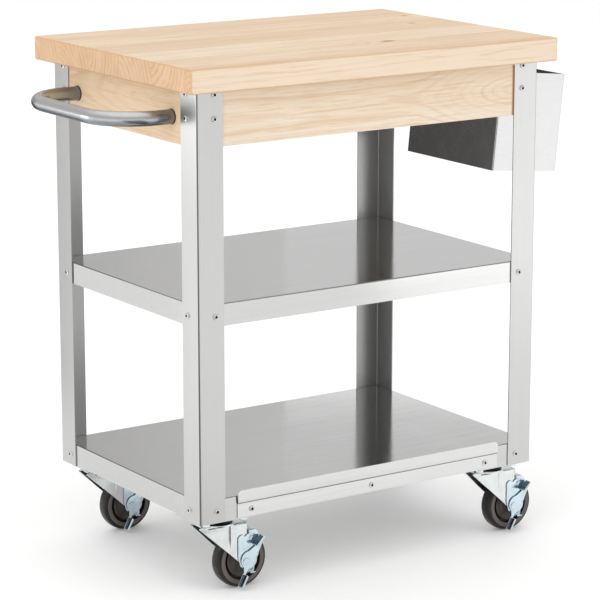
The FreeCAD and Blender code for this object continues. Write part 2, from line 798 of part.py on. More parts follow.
caster_pieces = {
    "caster_plate_": make_caster_plate(),
    "fork_": make_fork(),
    "brake_bracket_": make_bracket(),
    "brake_lever_": make_lever(),
    "axle_bolt_": make_axle(),
    "wheel_": make_wheel(),
    "wheel_bush_": make_bush(),
}
front_left_gusset = make_gusset()
plate_bolt_set = make_plate_bolts()
one_kingpin = make_kingpin()
caster_bolts = []
kingpins = []
for corner, (side_x, side_y) in CORNERS.items():
    at = V(side_x * caster_x, side_y * caster_y, 0)
    nodes["caster_gusset_" + corner] = mirrored(front_left_gusset, side_x, side_y)
    for name, piece in caster_pieces.items():
        nodes[name + corner] = moved(piece, at)
    caster_bolts += [moved(solid, at) for solid in plate_bolt_set]
    kingpins.append(moved(one_kingpin, at))
nodes["caster_bolts"] = Part.makeCompound(caster_bolts)
nodes["kingpins"] = Part.makeCompound(kingpins)

os.makedirs("parts", exist_ok=True)
for name, shape in nodes.items():
    moved(shape, V(frame_shift, 0, 0)).exportStep("parts/" + name + ".step")
print(len(nodes), "nodes; frame shift", round(frame_shift, 3), "bin reach", round(bin_reach, 1))
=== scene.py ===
"""Looks of the work cart: wood, brushed sheet, zinc and rubber finishes, and smooth pieces on the CAD frame.

Shapes are worked out in millimetres in the part's own frame and written to the meshes in metres.
"""
import json
import math

import bmesh
import bpy
import numpy as np
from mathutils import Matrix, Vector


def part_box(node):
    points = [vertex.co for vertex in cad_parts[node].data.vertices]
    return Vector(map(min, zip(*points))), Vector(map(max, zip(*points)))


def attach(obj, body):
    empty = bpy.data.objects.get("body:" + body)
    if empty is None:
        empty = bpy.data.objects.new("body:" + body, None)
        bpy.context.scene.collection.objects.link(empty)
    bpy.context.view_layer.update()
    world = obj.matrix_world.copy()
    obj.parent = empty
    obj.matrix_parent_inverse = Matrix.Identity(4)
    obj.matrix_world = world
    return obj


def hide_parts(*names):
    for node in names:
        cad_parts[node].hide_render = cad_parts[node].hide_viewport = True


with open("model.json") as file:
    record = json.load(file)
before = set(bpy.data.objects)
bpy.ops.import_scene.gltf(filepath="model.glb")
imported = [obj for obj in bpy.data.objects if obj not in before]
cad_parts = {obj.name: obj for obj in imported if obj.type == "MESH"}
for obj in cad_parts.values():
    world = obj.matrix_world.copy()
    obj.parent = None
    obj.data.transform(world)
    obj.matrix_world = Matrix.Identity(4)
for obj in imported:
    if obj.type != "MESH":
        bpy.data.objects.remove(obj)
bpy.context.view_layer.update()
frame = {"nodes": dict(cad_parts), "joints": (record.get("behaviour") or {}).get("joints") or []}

MM = 0.001
NO_TINT = (1.0, 1.0, 1.0)
CORNERS = ("front_left", "front_right", "rear_left", "rear_right")
JOINTS = {joint["name"]: joint for joint in frame["joints"]}

# Photograph camera: sensor and lens in millimetres, place in metres, turn right and pitch down in degrees
CAMERA_SENSOR = 36.0
CAMERA_LENS = 158.9
CAMERA_PLACE = (-2.6127, -3.9018, 1.5058)
CAMERA_TURN = 33.746
CAMERA_PITCH = 12.806


def box_mm(*nodes):
    """The lowest and highest corners of the nodes together, in millimetres."""
    boxes = [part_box(node) for node in nodes]
    low = np.min([np.array(lo) for lo, hi in boxes], axis=0)
    high = np.max([np.array(hi) for lo, hi in boxes], axis=0)
    return low / MM, high / MM


def joint_place(name):
    """A joint's place at rest, in millimetres."""
    return np.array(JOINTS[name]["pos_m"]) / MM


# Materials

class Field:
    """A value in a node tree; arithmetic on it adds Math nodes."""

    def __init__(self, nodes, socket):
        self.nodes = nodes
        self.socket = socket

    def math(self, operation, *others):
        """A Math node on this value and others."""
        inputs = dict(enumerate((self,) + others))
        return self.nodes.node("ShaderNodeMath", {"operation": operation}, inputs)

    def __add__(self, other):
        return self.math("ADD", other)

    def __sub__(self, other):
        return self.math("SUBTRACT", other)

    def __rsub__(self, other):
        return (self * -1.0).math("ADD", other)

    def __mul__(self, other):
        return self.math("MULTIPLY", other)

    def __truediv__(self, other):
        return self.math("DIVIDE", other)

    def __pow__(self, other):
        return self.math("POWER", other)

    __radd__ = __add__
    __rmul__ = __mul__

    def ramp(self, low, high):
        """0 below low and 1 above high, with a smooth rise between them."""
        inputs = {"Value": self, "From Min": low, "From Max": high}
        return self.nodes.node("ShaderNodeMapRange", {"interpolation_type": "SMOOTHSTEP"}, inputs)

    def near(self, middle, reach):
        """1 where the value is at middle, fading to 0 at reach on both sides."""
        return 1.0 - (self - middle).math("ABSOLUTE").ramp(0.0, reach)


class Nodes:
    """The node tree of a material or of the world."""

    def __init__(self, owner):
        owner.use_nodes = True
        self.tree = owner.node_tree

    def node(self, kind, settings=None, inputs=None, output=0):
        """A node of a kind: its settings first, then the values or links of its sockets."""
        made = self.tree.nodes.new(kind)
        for key, value in (settings or {}).items():
            if key == "stops":
                self.set_stops(made.color_ramp.elements, value)
            else:
                setattr(made, key, value)
        for key, value in (inputs or {}).items():
            self.feed(made.inputs[key], value)
        return Field(self, made.outputs[output])

    def set_stops(self, elements, stops):
        """Gives a colour ramp its greys, each a position from 0 to 1 and a level."""
        for element, (position, level) in zip(elements, (stops[0], stops[-1])):
            element.position = position
            element.color = (level, level, level, 1)
        for position, level in stops[1:-1]:
            elements.new(position).color = (level, level, level, 1)

    def feed(self, socket, value):
        """Links a field to a socket, or sets the socket's own value."""
        if isinstance(value, Field):
            self.tree.links.new(value.socket, socket)
        else:
            socket.default_value = value


class Finish(Nodes):
    """A material made from nodes, with its principled shader at the end."""

    def __init__(self, name, constants):
        self.material = bpy.data.materials.new(name)
        super().__init__(self.material)
        self.shader = self.tree.nodes["Principled BSDF"]
        for socket, value in constants.items():
            self.shader.inputs[socket].default_value = value

    def place(self, scale=(1000.0, 1000.0, 1000.0)):
        """Object coordinates times a scale; the plain scale gives millimetres."""
        coordinates = self.node("ShaderNodeTexCoord", output="Object")
        return self.node("ShaderNodeVectorMath", {"operation": "MULTIPLY"}, {0: coordinates, 1: scale})

    def axes(self, vector):
        """The three parts of a vector."""
        parts = self.node("ShaderNodeSeparateXYZ", inputs={0: vector}).socket.node.outputs
        return [Field(self, part) for part in parts]

    def facing(self, kind="Normal"):
        """The three parts of the direction that the surface faces."""
        return self.axes(self.node("ShaderNodeNewGeometry", output=kind))

    def mark(self):
        """The mark that a piece's mesh carries, and 0 on a mesh that has none."""
        return self.node("ShaderNodeAttribute", {"attribute_name": "mark"}, output="Fac")

    def between(self, facing):
        """0 where the surface faces along an axis, rising to 0.5 where it faces halfway between two."""
        x, y, z = facing
        return (x * y).math("ABSOLUTE") + (x * z).math("ABSOLUTE") + (y * z).math("ABSOLUTE")

    def noise(self, scale, detail=2.0, roughness=0.5):
        """Noise from 0 to 1 over object coordinates stretched by a scale per metre on each axis."""
        inputs = {"Vector": self.place(scale), "Scale": 1.0, "Detail": detail, "Roughness": roughness}
        return self.node("ShaderNodeTexNoise", None, inputs)

    def random(self, value):
        """A fixed random number from 0 to 1 for each value."""
        return self.node("ShaderNodeTexWhiteNoise", {"noise_dimensions": "1D"}, {"W": value})

    def mix(self, amount, first, second):
        """A colour between two others."""
        inputs = {0: amount, 6: first, 7: second}
        return self.node("ShaderNodeMix", {"data_type": "RGBA"}, inputs, 2)

    def colour(self, value):
        """Sets the base colour."""
        self.feed(self.shader.inputs["Base Color"], value)

    def rough(self, value):
        """Sets the roughness."""
        self.feed(self.shader.inputs["Roughness"], value)

    def metallic(self, value):
        """Sets how far the surface is bare metal."""
        self.feed(self.shader.inputs["Metallic"], value)

    def bump(self, height, distance_mm, strength=1.0):
        """Raises the surface by a height field times a distance."""
        inputs = {"Height": height, "Distance": distance_mm * MM, "Strength": strength}
        self.feed(self.shader.inputs["Normal"], self.node("ShaderNodeBump", None, inputs))


def stretched(along, fine, slow):
    """Noise scales per metre: slow along one axis and fine across it."""
    return tuple(slow if axis == along else fine for axis in "XYZ")


TOP_TONES = ((0.83, 0.69, 0.535, 1), (0.72, 0.53, 0.36, 1))
LONG_TONES = ((0.83, 0.755, 0.645, 1), (0.75, 0.62, 0.47, 1))
SIDE_TONES = ((0.85, 0.70, 0.52, 1), (0.76, 0.56, 0.365, 1))
WOOD_EDGE = (0.80, 0.68, 0.555, 1)
END_TONES = ((0.61, 0.345, 0.16, 1), (0.78, 0.53, 0.335, 1))
WOOD_RING = (0.60, 0.36, 0.18, 1)
END_RING = (0.49, 0.255, 0.11, 1)
WOOD_KNOT = (0.40, 0.19, 0.065, 1)

# Half a seam's width, the range that rings stray over, and a painted shadow line's place and reach
SEAM = 1.2
RING_WANDER = 14.0
SHADOW_LINE_BEFORE = 1.6
SHADOW_LINE_REACH = 3.6


def wood_finish(name, tones, axes, board, pith, ring, dash, knots=(), shadow_line_at=None):
    """Solid wood: growth rings about a pith line along each board, with fibres and flecks along the grain.

    axes names the directions along, across and through the boards. board is their width, their shift and
    how far the pith scatters across them. pith is its height, scatter and wander, and the start, end and
    amount of its rise along the board. Rings are the fractional part of the distance to the pith over the
    ring spacing, so long faces show arches, and cut ends show arcs that fade in and out. Board edges are
    paler and cut ends darker. dash is how many pore lines lie in a metre of the wide faces. Each knot is
    its place along and across, and its size, and the rings bulge round it. A dark line of painted shadow
    can lie where another part's edge meets the board.
    """
    wood = Finish(name, {"Specular IOR Level": 0.35, "Coat Weight": 0.03, "Coat Roughness": 0.35})
    along = axes[0]
    width, shift, scatter = board
    pith_height, pith_scatter, pith_wander, rise_start, rise_end, rise_by = pith
    parts = dict(zip("XYZ", wood.axes(wood.place())))
    far, side, height = [parts[axis] for axis in axes]

    # Boards, each with its own pith, and the distance from it
    shifted = side / width + shift
    number = shifted.math("FLOOR")
    first = wood.random(number + 0.37)
    second = wood.random(number + 7.91)
    third = wood.random(number + 3.13)
    wander = wood.noise(stretched(along, 22.0, 2.2), 3.0)
    drift = wood.noise(stretched(along, 5.0, 1.3), 1.0)
    middle = (number - shift + 0.5 + (first - 0.5) * scatter) * width
    depth = pith_height + (second - 0.5) * pith_scatter + (drift - 0.5) * pith_wander
    depth = depth + far.ramp(rise_start, rise_end) * rise_by
    from_side = side - middle
    from_height = height - depth
    radius = (from_side * from_side + from_height * from_height) ** 0.5 + (wander - 0.5) * RING_WANDER
    knot_mask = None
    for knot_far, knot_side, knot_size in knots:
        away = (((far - knot_far) / 1.4) ** 2.0 + (side - knot_side) ** 2.0) ** 0.5
        radius = radius + (1.0 - away.ramp(0.0, knot_size * 4.5)) * ring * 2.2
        mask = 1.0 - away.ramp(knot_size * 0.35, knot_size)
        knot_mask = mask if knot_mask is None else knot_mask.math("MAXIMUM", mask)

    # Rings, and what crosses them
    turn = (radius / ring).math("FRACT")
    late = turn.ramp(0.45, 0.92) * (1.0 - turn.ramp(0.92, 1.0))
    fine_turn = (radius / (ring * 0.37)).math("FRACT")
    minor = fine_turn.ramp(0.2, 0.75) * (1.0 - fine_turn.ramp(0.75, 1.0))
    fade = wood.noise((40.0, 40.0, 40.0), 2.0).ramp(0.34, 0.62)
    weight = wood.random((radius / ring).math("FLOOR") + number * 17.0)
    facing = wood.facing("True Normal")
    cut_end = facing["XYZ".index(along)].math("ABSOLUTE").ramp(0.55, 0.9)
    board_edge = facing["XYZ".index(axes[1])].math("ABSOLUTE").ramp(0.55, 0.9)
    fibre = wood.noise(stretched(along, 800.0, 10.0), 4.0, 0.6)
    streak = wood.noise(stretched(along, 120.0, 1.8), 3.0, 0.6)
    fleck = wood.noise(stretched(along, 230.0, 11.0), 3.0, 0.6).ramp(0.54, 0.66)
    vein = wood.noise(stretched(along, 70.0, 0.9), 2.0, 0.5).ramp(0.57, 0.68)
    pores = wood.noise(stretched(along, dash, 7.0), 4.0, 0.7).ramp(0.54, 0.64)
    cloud = wood.noise(stretched(along, 14.0, 2.4), 3.0)

    # Tones, each laid over those before it
    tone = wood.mix((third * 0.45 + cloud * 0.55 + streak * 0.45).ramp(0.44, 0.96), *tones)
    tone = wood.mix(board_edge * 0.75, tone, WOOD_EDGE)
    tone = wood.mix(cut_end * 0.85, tone, wood.mix(first * 0.6 + cloud * 0.4, *END_TONES))
    ringed = (0.06 + 0.32 * weight) * (1.0 - 0.5 * board_edge) + 0.10 * cut_end * fade
    line = wood.mix(cut_end, WOOD_RING, END_RING)
    tone = wood.mix(late * ringed + minor * (0.06 + 0.34 * cut_end * fade), tone, line)
    tone = wood.mix(vein * (0.30 - 0.30 * cut_end), tone, WOOD_RING)
    tone = wood.mix(fibre.ramp(0.42, 0.8) * 0.16, tone, WOOD_RING)
    tone = wood.mix(fleck * (0.30 - 0.22 * cut_end), tone, WOOD_RING)
    tone = wood.mix(pores * (1.0 - cut_end) * (1.0 - board_edge) * 0.36, tone, WOOD_RING)
    seam = (shifted.math("FRACT") - 0.5).math("ABSOLUTE").ramp(0.5 - SEAM / width, 0.5)
    tone = wood.mix(seam * (0.10 + 0.60 * first) * (1.0 - 0.7 * cut_end), tone, WOOD_KNOT)
    tone = wood.mix(wood.between(facing).ramp(0.2, 0.45) * 0.6, tone, WOOD_RING)
    if knot_mask is not None:
        tone = wood.mix(knot_mask, tone, wood.mix(knot_mask ** 4.0 * 0.8, WOOD_RING, WOOD_KNOT))
    # Painted shadow: a dark line along the edge of the leg that meets the board
    if shadow_line_at is not None:
        tone = wood.mix(far.near(shadow_line_at - SHADOW_LINE_BEFORE, SHADOW_LINE_REACH), tone, WOOD_KNOT)
    wood.colour(tone)
    wood.rough(0.42 + 0.14 * fibre + 0.05 * late)
    wood.bump(late * 0.3 + fibre * 0.6 - fleck * 0.6 - seam * 1.4, 0.12)
    return wood.material


def brushed_finish(name, along, colour, roughness, grain=1.0, shaded=None, shade_tint=NO_TINT, bend=0.0, matt=0.0):
    """Brushed sheet: fine streaks along one axis shift the colour, the roughness and the height a little.

    Shade is painted dark in creases that the mesh's mark gives and, by the bend amount, a dark reflection
    is painted along the sheet's outer bends: there the normal lies between two axes and points away from
    the cart's middle. Where an optional mask is 1, shade is painted with the shade tint, and the surface is
    less of a mirror by the matt amount.
    """
    steel = Finish(name, {"Metallic": 1.0})
    streak = steel.noise(stretched(along, 900.0, 5.0), 3.0, 0.65)
    broad = steel.noise(stretched(along, 160.0, 2.0), 2.0)
    cloud = steel.noise((9.0, 9.0, 9.0), 3.0)
    shade = (streak - 0.5) * 0.34 + (broad - 0.5) * 0.16 * grain + (cloud - 0.5) * 0.10 + 0.5

    def brushed(tint):
        """The steel's colour times a tint, with the streaks a little darker and lighter than it."""
        tinted = [part * share for part, share in zip(colour, tint)]
        ends = [tuple(min(1.0, part * end) for part in tinted) + (1,) for end in (0.84, 1.10)]
        return steel.mix(shade, *ends)

    crease_shade = steel.mark()
    if bend:
        facing = steel.facing()
        x, y = steel.axes(steel.place())[:2]
        outward = (x * facing[0] + y * facing[1]).ramp(-5.0, 5.0)
        crease_shade = crease_shade.math("MAXIMUM", steel.between(facing).ramp(0.33, 0.44) * outward * bend)
    tone = brushed(NO_TINT)
    if shaded is not None:
        mask = shaded(steel)
        tone = steel.mix(mask, tone, brushed(shade_tint))
        if matt:
            steel.metallic(1.0 - mask * matt)
    # Painted shade and reflection: near black in marked creases and along outer bends
    steel.colour(steel.mix(crease_shade, tone, (0.05, 0.05, 0.05, 1)))
    steel.rough(roughness + (streak - 0.5) * 0.16 + (cloud - 0.5) * 0.10)
    steel.bump(streak, 0.02 * grain, 0.6)
    return steel.material


def zinc_finish(name, colour, roughness, edge, shaded_below=None):
    """Bright zinc plate: a faint cool mottle with tiny pits, and another tone, painted shade or highlight,
    where the mesh's mark is set.

    Where a height is given, all below it is painted black as shade.
    """
    zinc = Finish(name, {"Metallic": 1.0})
    mottle = zinc.noise((60.0, 60.0, 60.0), 3.0, 0.5)
    fine = zinc.noise((700.0, 700.0, 700.0), 3.0)
    # Where shade or highlight is painted in the edge colour: the mark, or all below the given height
    cut = zinc.mark()
    if shaded_below is not None:
        cut = 1.0 - zinc.axes(zinc.place())[2].ramp(shaded_below - 0.2, shaded_below)
    dark = tuple(part * 0.93 for part in colour) + (1,)
    light = tuple(min(1.0, part * 1.05) for part in colour) + (1,)
    zinc.colour(zinc.mix(cut, zinc.mix(mottle.ramp(0.25, 0.75), dark, light), edge + (1,)))
    zinc.rough(roughness + (mottle - 0.5) * 0.10 + (fine - 0.5) * 0.08)
    zinc.bump(fine, 0.02, 0.4)
    return zinc.material


def bin_shade(steel):
    """1 on the bin's face towards the cart and on its inside, measured in the tilted bin's own directions."""
    x, y, z = steel.axes(steel.place())
    lean = math.radians(BIN_TILT)
    out = (x - BIN_FOOT[0]) * math.cos(lean) - (z - BIN_FOOT[1]) * math.sin(lean)
    up = (x - BIN_FOOT[0]) * math.sin(lean) + (z - BIN_FOOT[1]) * math.cos(lean)
    edge = 0.5
    outer = BIN_LENGTH - BIN_SHEET
    side = BIN_WIDTH / 2 - BIN_SHEET
    inner_face = 1.0 - out.ramp(BIN_SHEET - 2 * edge, BIN_SHEET - edge)
    inside = out.ramp(BIN_SHEET - edge, BIN_SHEET) * (1.0 - out.ramp(outer, outer + edge))
    inside = inside * (1.0 - y.math("ABSOLUTE").ramp(side, side + edge))
    return inner_face.math("MAXIMUM", inside * up.ramp(BIN_SHEET - edge, BIN_SHEET))


def flange_shade(steel):
    """1 on the upright faces of a shelf and 0 on its deck."""
    return 1.0 - steel.facing()[2] ** 2.0


def tube_shade(steel):
    """1 on the tube's underside and towards its ends at the apron, which lie in the top's shade."""
    up = steel.facing()[2]
    x = steel.axes(steel.place())[0]
    inner = x.ramp(HANDLE_APRON - TUBE_SHADE_OUT[0], HANDLE_APRON - TUBE_SHADE_OUT[1])
    return inner.math("MAXIMUM", (0.0 - up).ramp(-0.15, 0.45))


def leg_shade(steel):
    """1 on the legs' insides, from the place and the way the surface faces."""
    x, y = steel.axes(steel.place())[:2]
    across, deep = steel.facing()[:2]
    deeper, shallower = LEG_REACH - LEG_SKIN[0], LEG_REACH - LEG_SKIN[1]
    inside_x = 1.0 - (x - LEG_MIDDLE[0]).math("ABSOLUTE").ramp(deeper[0], shallower[0])
    inside_y = 1.0 - (y - LEG_MIDDLE[1]).math("ABSOLUTE").ramp(deeper[1], shallower[1])
    return inside_x * across ** 2.0 + inside_y * deep ** 2.0


def screw_finish(name):
    """Polished screw steel, painted near black as shade where the mesh's own mark says socket."""
    steel = Finish(name, {})
    socket = steel.mark()
    fine = steel.noise((600.0, 600.0, 600.0), 3.0)
    shine = steel.mix(fine, (0.62, 0.62, 0.62, 1), (0.78, 0.78, 0.77, 1))
    steel.colour(steel.mix(socket, shine, (0.012, 0.012, 0.012, 1)))
    steel.rough(0.18 + 0.12 * fine + 0.4 * socket)
    steel.metallic(1.0 - socket)
    steel.bump(fine, 0.01, 0.4)
    return steel.material


def rubber_finish(name, dark, light):
    """Moulded grey-black rubber with a slight bloom and fine grain, lighter where the mesh's mark is set."""
    rubber = Finish(name, {"Specular IOR Level": 0.26})
    bloom = rubber.noise((26.0, 40.0, 26.0), 4.0, 0.6)
    grain = rubber.noise((1500.0, 1500.0, 1500.0), 3.0)
    raised = rubber.mark()
    tone = rubber.mix(bloom.ramp(0.3, 0.75), dark + (1,), light + (1,))
    rubber.colour(rubber.mix(raised, tone, tuple(part * 5.0 for part in light) + (1,)))
    rubber.rough(0.24 + (bloom - 0.5) * 0.20 + (grain - 0.5) * 0.10)
    rubber.bump(grain, 0.08, 0.5)
    return rubber.material


# Legs: the middle and reach of all four, and the depths where their inside's shade is full and gone
leg_low, leg_high = box_mm(*["leg_" + corner for corner in CORNERS])
LEG_MIDDLE = (leg_low + leg_high) / 2
LEG_REACH = (leg_high - leg_low) / 2
LEG_SKIN = (1.2, 0.6)

# Push handle: the apron's face, and how far out from it the tube's shade starts and is full
HANDLE_APRON = box_mm("left_apron")[0][0]
TUBE_SHADE_OUT = (75.0, 5.0)

# The bin: X and Z of its lower edge towards the cart, lean in degrees, size outwards and across, and sheet
BIN_FOOT = (327.9, 664.0)
BIN_TILT = 5.9
BIN_LENGTH = 149.0
BIN_WIDTH = 264.0
BIN_SHEET = 1.2

STEEL = (0.70, 0.70, 0.695)
LEG_STEEL = (0.58, 0.58, 0.575)
SATIN_STEEL = (0.57, 0.57, 0.57)
ZINC = (0.70, 0.775, 0.81)
# Near-black tones of painted shade: on marked zinc, and on the caster plates' race below a depth under their
# top
ZINC_SHADE = (0.09, 0.11, 0.13)
RACE_SHADE = (0.012, 0.012, 0.014)
RACE_DEPTH = 3.1

top_high = box_mm("wood_top")[1]
apron_low, apron_high = box_mm("front_apron", "rear_apron")
apron_middle = (apron_low[2] + apron_high[2]) / 2
right_leg_edge = box_mm("leg_front_right")[0][0]
plate_top = box_mm("caster_plate_front_left")[1][2]

# Each apron is one board of the pattern, which is wider than the apron and centred on it
APRON_BOARD = 400.0
apron_shift = 2.5 - apron_middle / APRON_BOARD

top_wood = wood_finish(
    "top_wood", TOP_TONES, "XYZ", (107.0, 0.31, 1.3), (top_high[2] - 25.0, 90.0, 60.0, -400.0, 400.0, 16.0),
    11.0, 100.0, ((84.0, -143.0, 15.0), (274.0, 47.0, 9.0), (330.0, 150.0, 8.0)))
long_apron_wood = wood_finish(
    "long_apron_wood", LONG_TONES, "XZY", (APRON_BOARD, apron_shift, 0.0),
    (apron_low[1] + 62.0, 0.0, 26.0, 60.0, 345.0, -58.0), 7.0, 260.0, shadow_line_at=right_leg_edge)
side_apron_wood = wood_finish(
    "side_apron_wood", SIDE_TONES, "YZX", (APRON_BOARD, apron_shift, 0.1),
    (apron_low[0] + 26.0, 0.0, 26.0, -230.0, 230.0, 32.0), 6.0, 240.0)
# Painted shade by the shade tints: the legs' insides, the shelves' upright faces, the tube's underside and
# ends (bluish, so the wood reflected there looks grey), and the bin's face towards the cart and its inside;
# bend paints a dark reflection on outer bends
leg_steel = brushed_finish("leg_steel", "Z", LEG_STEEL, 0.32, 1.0, leg_shade, (0.66, 0.66, 0.66), 0.7)
shelf_steel = brushed_finish("shelf_steel", "X", STEEL, 0.10, 3.0, flange_shade, (0.84, 0.84, 0.84), 0.6)
lip_steel = brushed_finish("lip_steel", "X", STEEL, 0.14, 3.0)
tube_steel = brushed_finish("tube_steel", "Y", SATIN_STEEL, 0.22, 2.0, tube_shade, (0.42, 0.455, 0.50))
bin_steel = brushed_finish("bin_steel", "X", SATIN_STEEL, 0.26, 0.6, bin_shade, (0.245, 0.25, 0.26), matt=0.6)
screw_steel = screw_finish("screw_steel")
zinc_plate = zinc_finish("zinc_plate", ZINC, 0.20, ZINC_SHADE)
fork_zinc = zinc_finish("fork_zinc", (0.735, 0.765, 0.765), 0.20, ZINC_SHADE)
# Brake sheets: their marked cut rims are painted dark as shade
brake_zinc = zinc_finish("brake_zinc", (0.60, 0.72, 0.78), 0.18, (0.07, 0.10, 0.13))
race_zinc = zinc_finish("race_zinc", ZINC, 0.24, RACE_SHADE, plate_top - RACE_DEPTH)
# Tabs: a dark tone of painted shade, with a painted highlight on their marked ends and edges
tab_zinc = zinc_finish("tab_zinc", (0.13, 0.17, 0.21), 0.22, (0.80, 0.86, 0.90))
wheel_rubber = rubber_finish("wheel_rubber", (0.010, 0.009, 0.008), (0.024, 0.021, 0.019))
collar_black = rubber_finish("collar_black", (0.012, 0.012, 0.012), (0.03, 0.03, 0.03))

# The finish of each CAD node, by how its name starts; the first that fits is taken
CAD_FINISHES = (
    ("wood_top", top_wood), ("front_apron", long_apron_wood), ("rear_apron", long_apron_wood),
    ("left_apron", side_apron_wood), ("right_apron", side_apron_wood), ("front_top_cleat", long_apron_wood),
    ("rear_top_cleat", long_apron_wood), ("leg_", leg_steel), ("middle_shelf_screws", screw_steel),
    ("lower_shelf_screws", screw_steel), ("apron_screws", screw_steel), ("lip_screws", screw_steel),
    ("hanger_screws", screw_steel), ("top_screws", screw_steel), ("cleat_screws", screw_steel),
    ("handle_bolts", screw_steel), ("middle_shelf", shelf_steel), ("lower_shelf", shelf_steel),
    ("front_lip", lip_steel), ("push_handle", tube_steel), ("bin_hanger", shelf_steel), ("bin", bin_steel),
    ("caster_gusset_", shelf_steel), ("caster_plate_", race_zinc), ("caster_", zinc_plate),
    ("fork_", fork_zinc), ("brake_", brake_zinc), ("axle_bolt_", brake_zinc), ("kingpins", zinc_plate),
    ("wheel_bush_", zinc_plate), ("wheel_", wheel_rubber),
)
for node_name, node_object in frame["nodes"].items():
    finish = next(material for start, material in CAD_FINISHES if node_name.startswith(start))
    node_object.data.materials.clear()
    node_object.data.materials.append(finish)


# Shapes

def unit(vectors):
    """Vectors of length one; a vector of no length stays as it is."""
    length = np.linalg.norm(vectors, axis=-1, keepdims=True)
    return vectors / np.where(length > 1e-9, length, 1.0)


def rounded(corners, radii, steps=6):
    """A closed outline whose corners are arcs, each touching its two sides equally far from the corner."""
    corners = np.asarray(corners, float)
    radii = np.broadcast_to(np.asarray(radii, float), len(corners))
    back = unit(np.roll(corners, 1, axis=0) - corners)
    ahead = unit(np.roll(corners, -1, axis=0) - corners)
    half = np.arccos(np.clip((back * ahead).sum(axis=1), -1.0, 0.999999)) / 2
    radii = np.where(np.linalg.norm(back + ahead, axis=1) > 1e-6, radii, 0.0)
    centre = corners + unit(back + ahead) * (radii / np.sin(half))[:, None]
    cut = (radii / np.tan(half))[:, None]
    first = corners + back * cut - centre
    last = corners + ahead * cut - centre
    start = np.arctan2(first[:, 1], first[:, 0])
    sweep = (np.arctan2(last[:, 1], last[:, 0]) - start + np.pi) % (2 * np.pi) - np.pi
    angle = start[:, None] + sweep[:, None] * np.linspace(0, 1, steps)
    arc = np.stack([np.cos(angle), np.sin(angle)], axis=-1) * radii[:, None, None]
    return (centre[:, None, :] + arc).reshape(-1, 2)


def inward(outline):
    """Unit vectors from each point of a closed outline towards its inside."""
    ahead = unit(np.roll(outline, -1, axis=0) - np.roll(outline, 1, axis=0))
    following = np.roll(outline, -1, axis=0)
    area = (outline[:, 0] * following[:, 1] - outline[:, 1] * following[:, 0]).sum()
    return np.stack([-ahead[:, 1], ahead[:, 0]], axis=-1) * np.sign(area)


def slab(outline, low, high, ease=0.4, steps=4):
    """An outline swept from low to high, shrinking along a quarter circle of radius ease near both faces."""
    turn = np.linspace(0, np.pi / 2, steps)
    inset = ease * (1 - np.sin(turn))
    rise = ease * (1 - np.cos(turn))
    inset = np.concatenate([inset, inset[::-1]])
    height = np.concatenate([low + rise, (high - rise)[::-1]])
    flat = outline[None] + inset[:, None, None] * inward(outline)[None]
    return np.dstack([flat, np.broadcast_to(height[:, None], flat.shape[:2])])


def rim(rows):
    """Marks for the rows of a slab: 1 along its cut rim, where the brake zinc paints shade, and 0 on its two
    faces.
    """
    away = np.abs(np.arange(rows) - (rows - 1) / 2)
    return (away < 1.0).astype(float)


def strip(path, thick):
    """The closed outline of a bent strip: a path of points moved half the thickness to both sides."""
    path = np.asarray(path, float)
    ahead = unit(np.gradient(path, axis=0))
    side = np.stack([-ahead[:, 1], ahead[:, 0]], axis=-1) * thick / 2
    return np.concatenate([path + side, (path - side)[::-1]])


def bent(points, radii, steps=6):
    """An open path whose inner corners are arcs."""
    points = np.asarray(points, float)
    ring = rounded(points, np.concatenate([[1e-6], np.atleast_1d(radii), [1e-6]]), steps)
    return np.concatenate([points[:1], ring[steps:-steps], points[-1:]])


def turned(profile, turns=64):
    """A profile of (radius, along) carried once round the third axis."""
    angle = np.linspace(0, 2 * np.pi, turns, endpoint=False)
    profile = np.asarray(profile, float)
    ring = np.stack([np.cos(angle), np.sin(angle)], axis=-1)
    flat = profile[:, None, :1] * ring[None]
    return np.dstack([flat, np.broadcast_to(profile[:, None, 1], flat.shape[:2])])


def laid(points, order):
    """The same points with their coordinates put on other axes, such as "XZY"."""
    return np.stack([points[..., order.index(axis)] for axis in "XYZ"], axis=-1)


